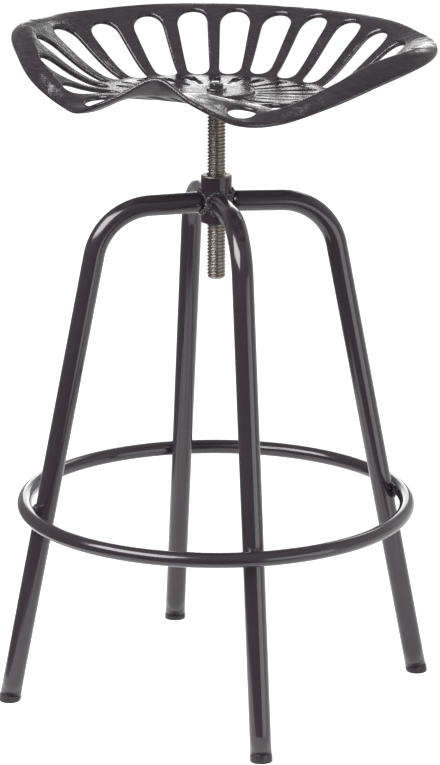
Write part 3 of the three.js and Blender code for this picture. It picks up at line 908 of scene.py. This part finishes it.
def slot_ends(inner, outer, width_shares):
    """The centres, out from the spindle, of a slot's two round ends, and their radii."""
    inner_radius, outer_radius = (share * HALF_WIDTH / 2 for share in width_shares)
    return inner + inner_radius, outer - outer_radius, inner_radius, outer_radius


def slot_outline(out, side, start, end, start_radius, end_radius):
    """The point of a tapered slot's outline between its middle line and each place."""
    t = np.clip((out - start) / (end - start), 0, 1)
    foot = start + t * (end - start)
    reach = np.hypot(out - foot, side)
    size = start_radius + (end_radius - start_radius) * t
    return foot + (out - foot) / reach * size, side / reach * size


def oval_outline(out, side, centre, half_length, half_width):
    """The point of an oval hole's outline at each place's angle on the oval."""
    angle = np.arctan2(side / half_width, (out - centre) / half_length)
    return centre + half_length * np.cos(angle), half_width * np.sin(angle)


def cell_places(number, low, high, across, along):
    """Places in plan at shares across and along a cell between two radii."""
    turn = slot_turn(number + across - 0.5)
    radius = low(turn) + along * (high(turn) - low(turn))
    return radius * np.sin(turn), radius * np.cos(turn)


def cell_loop(sides):
    """Shares across and along a cell, for a loop of points round its four sides."""
    width = evenly(CELL_STEPS)[:-1]
    length = evenly(sides)[:-1]
    across = np.concatenate([width, np.ones(sides), 1 - width, np.zeros(sides)])
    along = np.concatenate([np.zeros(CELL_STEPS), length, np.ones(CELL_STEPS), 1 - length])
    return across, along


def holed_cell(number, low, high, sides, fillet, outline, sizes):
    """A cell round one hole as one block. Rings of points run from the cell's edge in to the
    hole and over its rounded edge, a quarter circle of the fillet, on the upper skin and
    then back on the lower skin. outline gives the hole's point for each place, both out from
    the spindle and to the side of the hole's middle line."""
    x, y = cell_places(number, low, high, *cell_loop(sides))
    middle = float(slot_turn(number))
    c, s = math.cos(middle), math.sin(middle)
    out = x * s + y * c
    side = x * c - y * s
    hole_out, hole_side = outline(out, side, *sizes)
    gap = np.hypot(out - hole_out, side - hole_side)

    shares = [1 - (k / RINGS_OUT) ** RING_SPACING * (1 - fillet / gap) for k in range(RINGS_OUT + 1)]
    sinks = [0.0] * len(shares)
    for angle in np.linspace(0, math.pi / 2, FILLET_STEPS + 1)[1:]:
        shares.append(fillet * (1 - math.sin(angle)) / gap)
        sinks.append(fillet * (1 - math.cos(angle)))
    ring_out = hole_out + (out - hole_out) * np.stack(shares)
    ring_side = hole_side + (side - hole_side) * np.stack(shares)
    x = ring_out * s + ring_side * c
    y = ring_out * c - ring_side * s
    upper, lower = skin_heights(x, y)
    sink = np.array(sinks)[:, None]
    x, y = np.concatenate([x, x[::-1]]), np.concatenate([y, y[::-1]])
    z = np.concatenate([upper - sink, (lower + sink)[::-1]])
    return block(x, y, z, grid_faces(*x.shape))


def plain_cell(number, low, high):
    """A cell with no hole, as one block for each skin."""
    across = evenly(CELL_STEPS)
    along = evenly(SIDE_STEPS)[:, None]
    x, y = cell_places(number, low, high, across, along)
    upper, lower = skin_heights(x, y)
    quads = grid_faces(*x.shape, wrap_columns=False)
    return [block(x, y, upper, quads[:, ::-1]), block(x, y, lower, quads)]


def outer_cell(number):
    """The blocks of a cell of the outer band, which holds a long slot, a thigh hole or
    nothing, by how many pitches it lies from the middle of the back."""
    place = min(number, SLOT_PITCHES - number)
    thigh = len(SLOT_START_SHARES)
    if place > thigh:
        return plain_cell(number, slot_between, slot_outer)
    if place == thigh:
        outline = oval_outline
        centre, length, width = (share * HALF_WIDTH for share in THIGH_HOLE_SHARES)
        sizes = (centre, length / 2, width / 2)
    else:
        outline = slot_outline
        start, end = SLOT_START_SHARES[place] * HALF_WIDTH, SLOT_END_SHARES[place] * HALF_WIDTH
        sizes = slot_ends(start, end, SLOT_WIDTH_SHARES)
    return [holed_cell(number, slot_between, slot_outer, SIDE_STEPS, FILLET, outline, sizes)]


def inner_cell(number):
    """The block of a cell of the inner band, half a pitch on from the outer one, which
    holds an inner slot."""
    place = min(number, SLOT_PITCHES - 1 - number)
    start = DISC_RADIUS + INNER_SLOT_GAP_SHARE * HALF_WIDTH
    sizes = slot_ends(start, INNER_SLOT_END_SHARES[place] * HALF_WIDTH, INNER_SLOT_WIDTH_SHARES)
    return [holed_cell(number + 0.5, inner_edge, slot_between, INNER_SIDE_STEPS, INNER_FILLET,
                       slot_outline, sizes)]


def turned_block(turn, rows, inside_out=False):
    """A block of rings, whose radius and height are given at every turn or for all turns."""
    radius, height = (np.stack([np.broadcast_to(value, turn.shape) for value in column])
                      for column in zip(*rows))
    quads = grid_faces(*radius.shape)
    if inside_out:
        quads = quads[:, ::-1]
    return block(radius * np.sin(turn), radius * np.cos(turn), height, quads)


def rim_block(turn):
    """The rim: from the outer edge of the slots over the upper skin, half round the bead and
    back on the lower skin."""
    upper, lower, bead, lean = pan_section(turn)
    edge = slot_outer(turn)
    shares = evenly(RIM_SKIN_STEPS)[:-1]
    over = [edge + (upper[:, -1, 0] - edge) * share for share in shares]
    under = [edge + (lower[:, -1, 0] - edge) * share for share in shares[::-1]]
    around = np.arctan2(lean[:, 1], lean[:, 0])
    angles = [around - math.pi * share for share in evenly(RIM_BEAD_STEPS)]
    rows = [(radius, height_on(upper, radius)) for radius in over]
    rows += [(bead[:, 0] + RIM_BEAD / 2 * np.cos(angle), bead[:, 1] + RIM_BEAD / 2 * np.sin(angle))
             for angle in angles]
    rows += [(radius, height_on(lower, radius)) for radius in under]
    return turned_block(turn, rows, inside_out=True)


def disc_block(turn):
    """The middle disc: up its stepped edge, over its face, down the bolt hole and back
    underneath."""
    edge_z, under_z = skin_heights(INNER_EDGE * np.sin(turn), INNER_EDGE * np.cos(turn))
    rows = [(INNER_EDGE, edge_z)]
    rows += [(DISC_RADIUS + past, edge_z + over) for past, over in DISC_FOOT]
    rows += [(DISC_RADIUS + past, height) for past, height in DISC_EDGE]
    rows += [(BOLT_HOLE + past, height) for past, height in BOLT_HOLE_CHAMFER]
    rows += [(BOLT_HOLE, -DISC_THICKNESS), (UNDERSIDE_RING, -DISC_THICKNESS)]
    rows += [(DISC_RADIUS, under_z), (INNER_EDGE, under_z)]
    return turned_block(turn, rows)


def close_seams(piece):
    """Joins the points of neighbouring cells and turns every face the same way out."""
    work = bmesh.new()
    work.from_mesh(piece.data)
    bmesh.ops.remove_doubles(work, verts=work.verts, dist=SEAM_REACH * MM)
    bmesh.ops.recalc_face_normals(work, faces=work.faces)
    work.to_mesh(piece.data)
    work.free()
    piece.data.update()


def build_seat():
    """The pan as one closed skin: two bands of cells, each cell with the upper and the
    lower skin round its hole, then the rim outside them and the middle disc inside."""
    turn = slot_turn(np.arange(SLOT_PITCHES * CELL_STEPS) / CELL_STEPS)
    blocks = []
    for number in range(SLOT_PITCHES):
        blocks += outer_cell(number) + inner_cell(number)
    blocks += [rim_block(turn), disc_block(turn)]
    piece = make_piece("cast_seat_pan", *joined(blocks), CAST, "swivel_seat", "seat", "cast_seat")
    close_seams(piece)
    outward(piece)


build_legs()
build_caps()
build_ring()
build_hub()
build_hub_welds()
build_ring_welds()
build_screw()
build_plate()
build_washer()
build_bolt()
build_seat()

# Studio

# The world's light: the strength of the whole room, and of three sides of it as a direction
# seen from the camera's side, the cosines where it starts and is full, and its strength
ROOM_LIGHT = 0.24
BRIGHT_SIDES = {
    "backdrop": ((0.3, 1, 0.05), (0.66, 0.9), 0.15),
    "right wall": ((1, 0.25, 0.05), (0.55, 0.9), 0.35),
    "ceiling": ((0, -0.4, 1), (0.3, 0.9), 0.17),
}

# Each lamp's place seen from the camera's side, the height on the spindle axis that it is
# aimed at, its width and height in metres and its power in watts
LAMPS = {
    "key_softbox": ((-1.68, -1.27, 2.0), 0.45, (2.5, 1.4), 82),
    "right_softbox": ((1.6, -1.5, 0.15), 0.25, (1.6, 1.2), 9.5),
    "rear_softbox": ((0.96, 1.98, 2.07), 0.7, (0.6, 0.45), 3),
    "backdrop_softbox": ((0, 3.6, 0.98), 0.65, (1.8, 1.0), 12),
}

# The floor reaches a little past the stool towards the camera and to the left, and far
# behind and to the right. It glows for the camera, and less in reflections.
FLOOR_NEAR = 0.44
FLOOR_FAR = 14.0
FLOOR_WHITE = 0.86
FLOOR_GLOW = 0.7
FLOOR_GLOW_IN_GLOSS = 0.45


def seen_from_camera(right, ahead, up):
    """A place in metres to the right of, away from and above the stool's foot, as seen from
    the camera's side."""
    c, s = math.cos(VIEW_TURN), math.sin(VIEW_TURN)
    return (right * c - ahead * s, right * s + ahead * c, up)


def studio_world():
    """White for the camera. For light and reflections a dim room with a paler backdrop low
    behind the stool, a pale wall to the right and a pale ceiling, each a smooth step on the
    angle between the ray and one direction."""
    world = bpy.data.worlds.new("studio")
    bpy.context.scene.world = world
    world.use_nodes = True
    tree = world.node_tree
    tree.nodes.clear()
    ray = object_place(tree, "Generated")
    strength = ROOM_LIGHT
    for towards, cosines, amount in BRIGHT_SIDES.values():
        facing = tree.nodes.new("ShaderNodeVectorMath")
        facing.operation = "DOT_PRODUCT"
        facing.inputs[1].default_value = Vector(seen_from_camera(*towards)).normalized()
        tree.links.new(ray, facing.inputs[0])
        side = spread(tree, facing.outputs["Value"], cosines, (0, amount), "SMOOTHSTEP")
        strength = combine(tree, "ADD", side, strength)
    path = tree.nodes.new("ShaderNodeLightPath")
    mix = tree.nodes.new("ShaderNodeMixShader")
    tree.links.new(path.outputs["Is Camera Ray"], mix.inputs["Fac"])
    lit, shown = tree.nodes.new("ShaderNodeBackground"), tree.nodes.new("ShaderNodeBackground")
    for background, socket in ((lit, mix.inputs[1]), (shown, mix.inputs[2])):
        background.inputs["Color"].default_value = (1, 1, 1, 1)
        tree.links.new(background.outputs[0], socket)
    tree.links.new(strength, lit.inputs["Strength"])
    out = tree.nodes.new("ShaderNodeOutputWorld")
    tree.links.new(mix.outputs[0], out.inputs["Surface"])


def build_lamps():
    """Softboxes, each turned to face a point on the spindle axis."""
    for name, (place, aim_height, size, power) in LAMPS.items():
        data = bpy.data.lights.new(name, "AREA")
        data.shape = "RECTANGLE"
        data.size, data.size_y = size
        data.energy = power
        lamp = bpy.data.objects.new(name, data)
        bpy.context.scene.collection.objects.link(lamp)
        lamp.location = seen_from_camera(*place)
        towards = Vector((0, 0, aim_height)) - lamp.location
        lamp.rotation_euler = towards.to_track_quat("-Z", "Y").to_euler()


def floor_finish():
    """Plain pale paint that glows white for the camera and dimly in reflections."""
    material, tree, shader = new_finish("floor_white")
    shader.inputs["Base Color"].default_value = (FLOOR_WHITE, FLOOR_WHITE, FLOOR_WHITE, 1)
    shader.inputs["Roughness"].default_value = 0.9
    shader.inputs["Specular IOR Level"].default_value = 0.1
    shader.inputs["Emission Color"].default_value = (1, 1, 1, 1)
    path = tree.nodes.new("ShaderNodeLightPath")
    in_gloss = combine(tree, "MULTIPLY", path.outputs["Is Glossy Ray"], FLOOR_GLOW_IN_GLOSS)
    seen = combine(tree, "MAXIMUM", path.outputs["Is Camera Ray"], in_gloss)
    tree.links.new(combine(tree, "MULTIPLY", seen, FLOOR_GLOW), shader.inputs["Emission Strength"])
    return material


def build_floor():
    """One flat sheet, square to the camera's side."""
    near, far = -FLOOR_NEAR, FLOOR_FAR
    corners = ((near, near), (far, near), (far, far), (near, far))
    mesh = bpy.data.meshes.new("floor")
    mesh.from_pydata([seen_from_camera(*corner, 0) for corner in corners], [], [(0, 1, 2, 3)])
    mesh.materials.append(floor_finish())
    floor = bpy.data.objects.new("floor", mesh)
    bpy.context.scene.collection.objects.link(floor)


studio_world()
build_lamps()
build_floor()
bpy.context.scene.view_settings.view_transform = "Standard"
